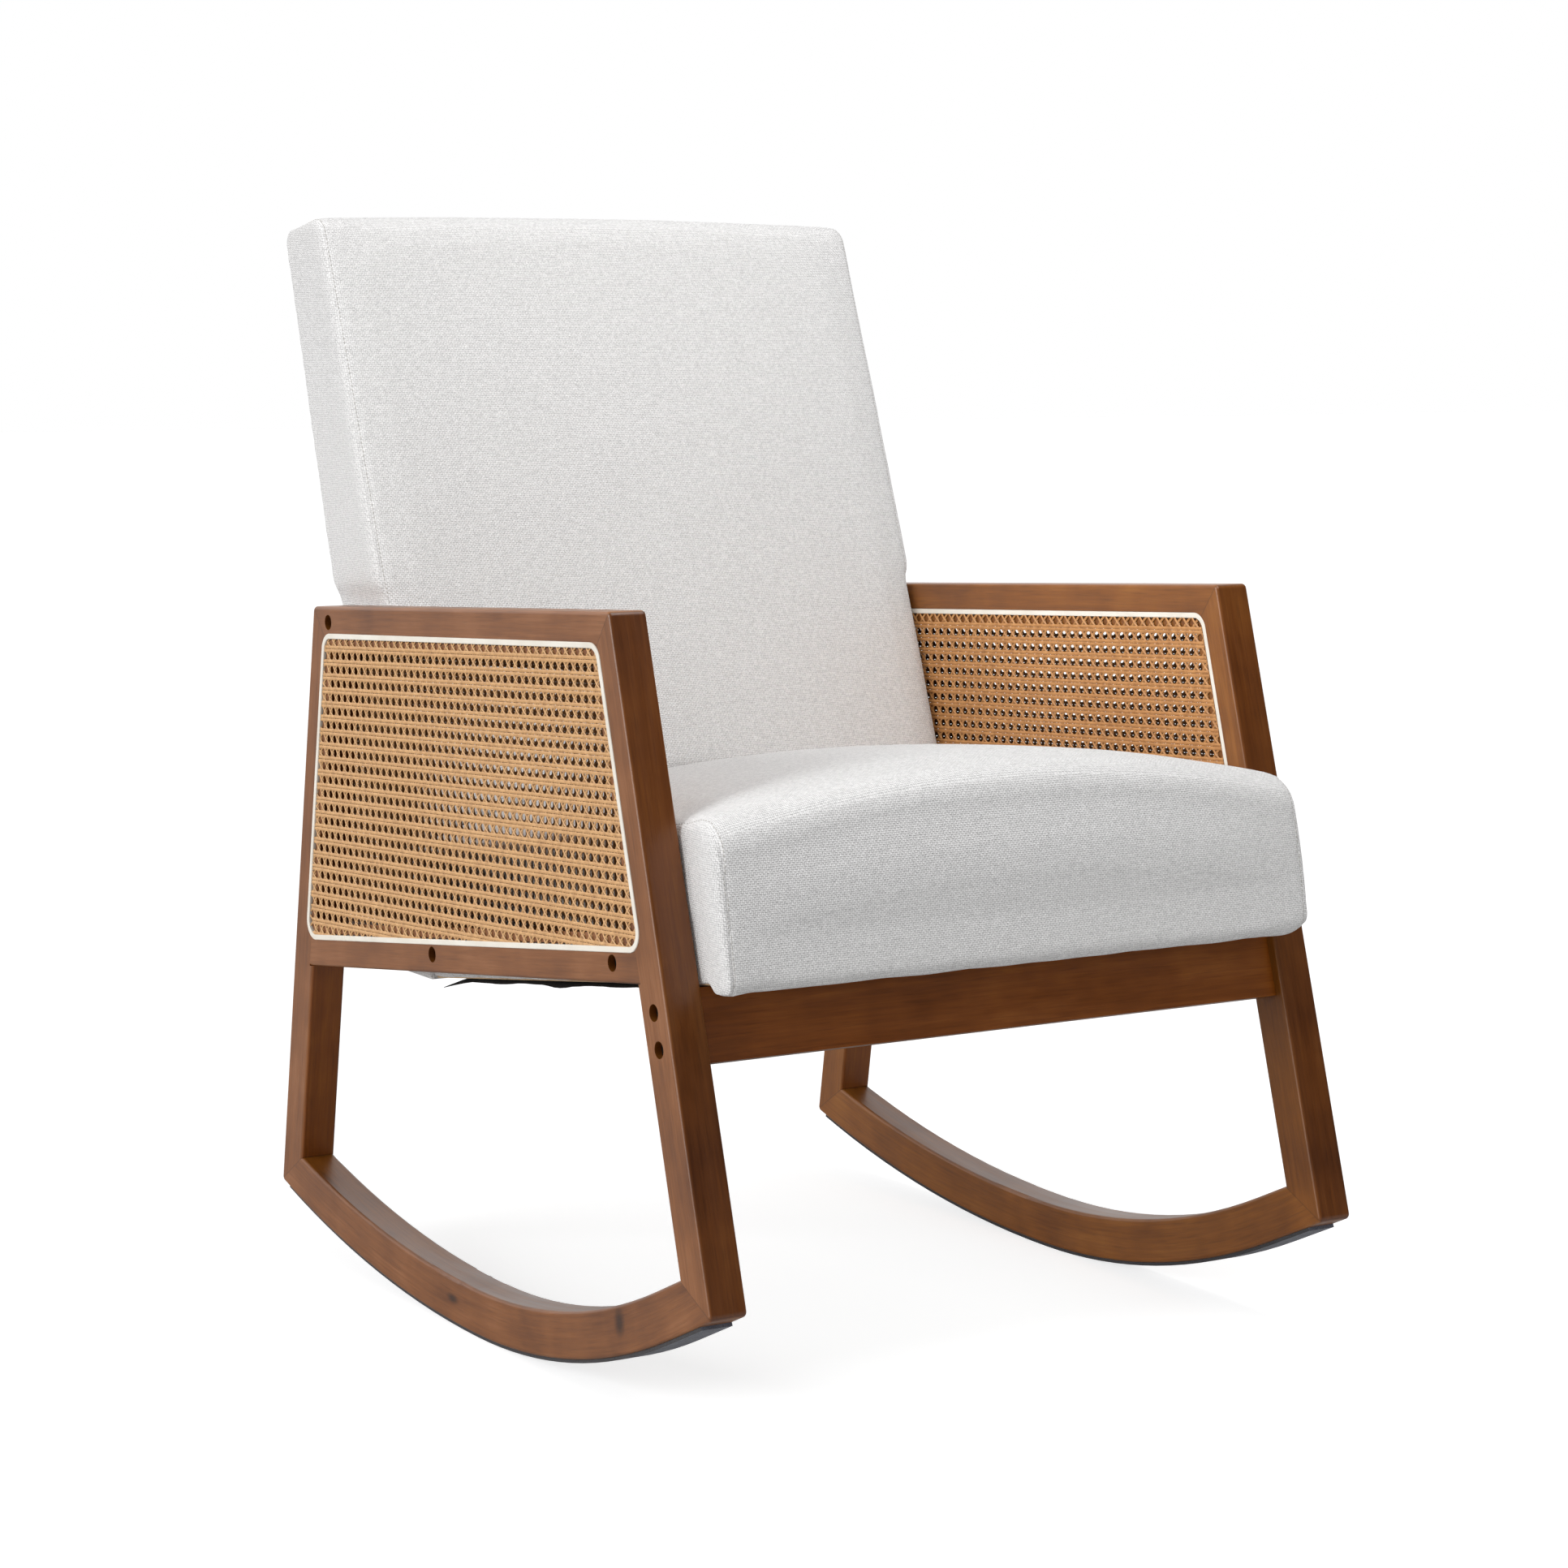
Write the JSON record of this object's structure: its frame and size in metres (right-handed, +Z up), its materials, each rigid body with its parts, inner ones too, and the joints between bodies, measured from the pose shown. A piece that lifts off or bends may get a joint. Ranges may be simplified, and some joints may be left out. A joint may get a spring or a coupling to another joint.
{
  "type": "upholstered rocking chair",
  "caption": "Low upholstered rocking armchair: closed walnut side frames with cane panels on curved runners, a thick crowned seat and a reclined padded back.",
  "frame": {"origin": "on the floor, under the middle of the chair's bounding box", "axes": "+Z up; the chair faces -Y; +X is to the right of someone who looks at it from the front"},
  "size_m": [0.642, 0.8331, 0.9705],
  "materials": {
    "walnut_wood": "satin lacquered, walnut brown stain",
    "frame_wood": "plain, hidden under the upholstery",
    "cane": "woven rattan cane, natural",
    "reed": "cream reed spline, smooth",
    "upholstery": "off-white woven cover over foam",
    "dust_cloth": "black spun cloth",
    "felt": "blue-grey felt",
    "bolt_steel": "black"
  },
  "bodies": {
    "root": {"back_cover": "upholstery", "back_cushion": "upholstery", "back_left_stile": "frame_wood", "back_lower_rail": "frame_wood", "back_right_stile": "frame_wood", "back_upper_rail": "frame_wood", "dust_cover": "dust_cloth", "front_apron": "walnut_wood", "left_arm_bolt": "bolt_steel", "left_felt": "felt", "left_front_foot_tenon": "walnut_wood", "left_front_post": "walnut_wood", "left_front_rail_bolt": "bolt_steel", "left_front_rail_tenon": "walnut_wood", "left_front_top_tenon": "walnut_wood", "left_inner_cane": "cane", "left_inner_spline": "reed", "left_lower_post_bolt": "bolt_steel", "left_middle_rail": "walnut_wood", "left_outer_cane": "cane", "left_outer_spline": "reed", "left_rear_foot_tenon": "walnut_wood", "left_rear_post": "walnut_wood", "left_rear_rail_bolt": "bolt_steel", "left_rear_rail_tenon": "walnut_wood", "left_rear_top_tenon": "walnut_wood", "left_runner": "walnut_wood", "left_top_rail": "walnut_wood", "left_upper_post_bolt": "bolt_steel", "right_arm_bolt": "bolt_steel", "right_felt": "felt", "right_front_foot_tenon": "walnut_wood", "right_front_post": "walnut_wood", "right_front_rail_bolt": "bolt_steel", "right_front_rail_tenon": "walnut_wood", "right_front_top_tenon": "walnut_wood", "right_inner_cane": "cane", "right_inner_spline": "reed", "right_lower_post_bolt": "bolt_steel", "right_middle_rail": "walnut_wood", "right_outer_cane": "cane", "right_outer_spline": "reed", "right_rear_foot_tenon": "walnut_wood", "right_rear_post": "walnut_wood", "right_rear_rail_bolt": "bolt_steel", "right_rear_rail_tenon": "walnut_wood", "right_rear_top_tenon": "walnut_wood", "right_runner": "walnut_wood", "right_top_rail": "walnut_wood", "right_upper_post_bolt": "bolt_steel", "seat_cushion": "upholstery", "seat_deck": "frame_wood", "seat_front_rail": "frame_wood", "seat_left_rail": "frame_wood", "seat_rear_rail": "frame_wood", "seat_right_rail": "frame_wood"}
  },
  "joints": []
}
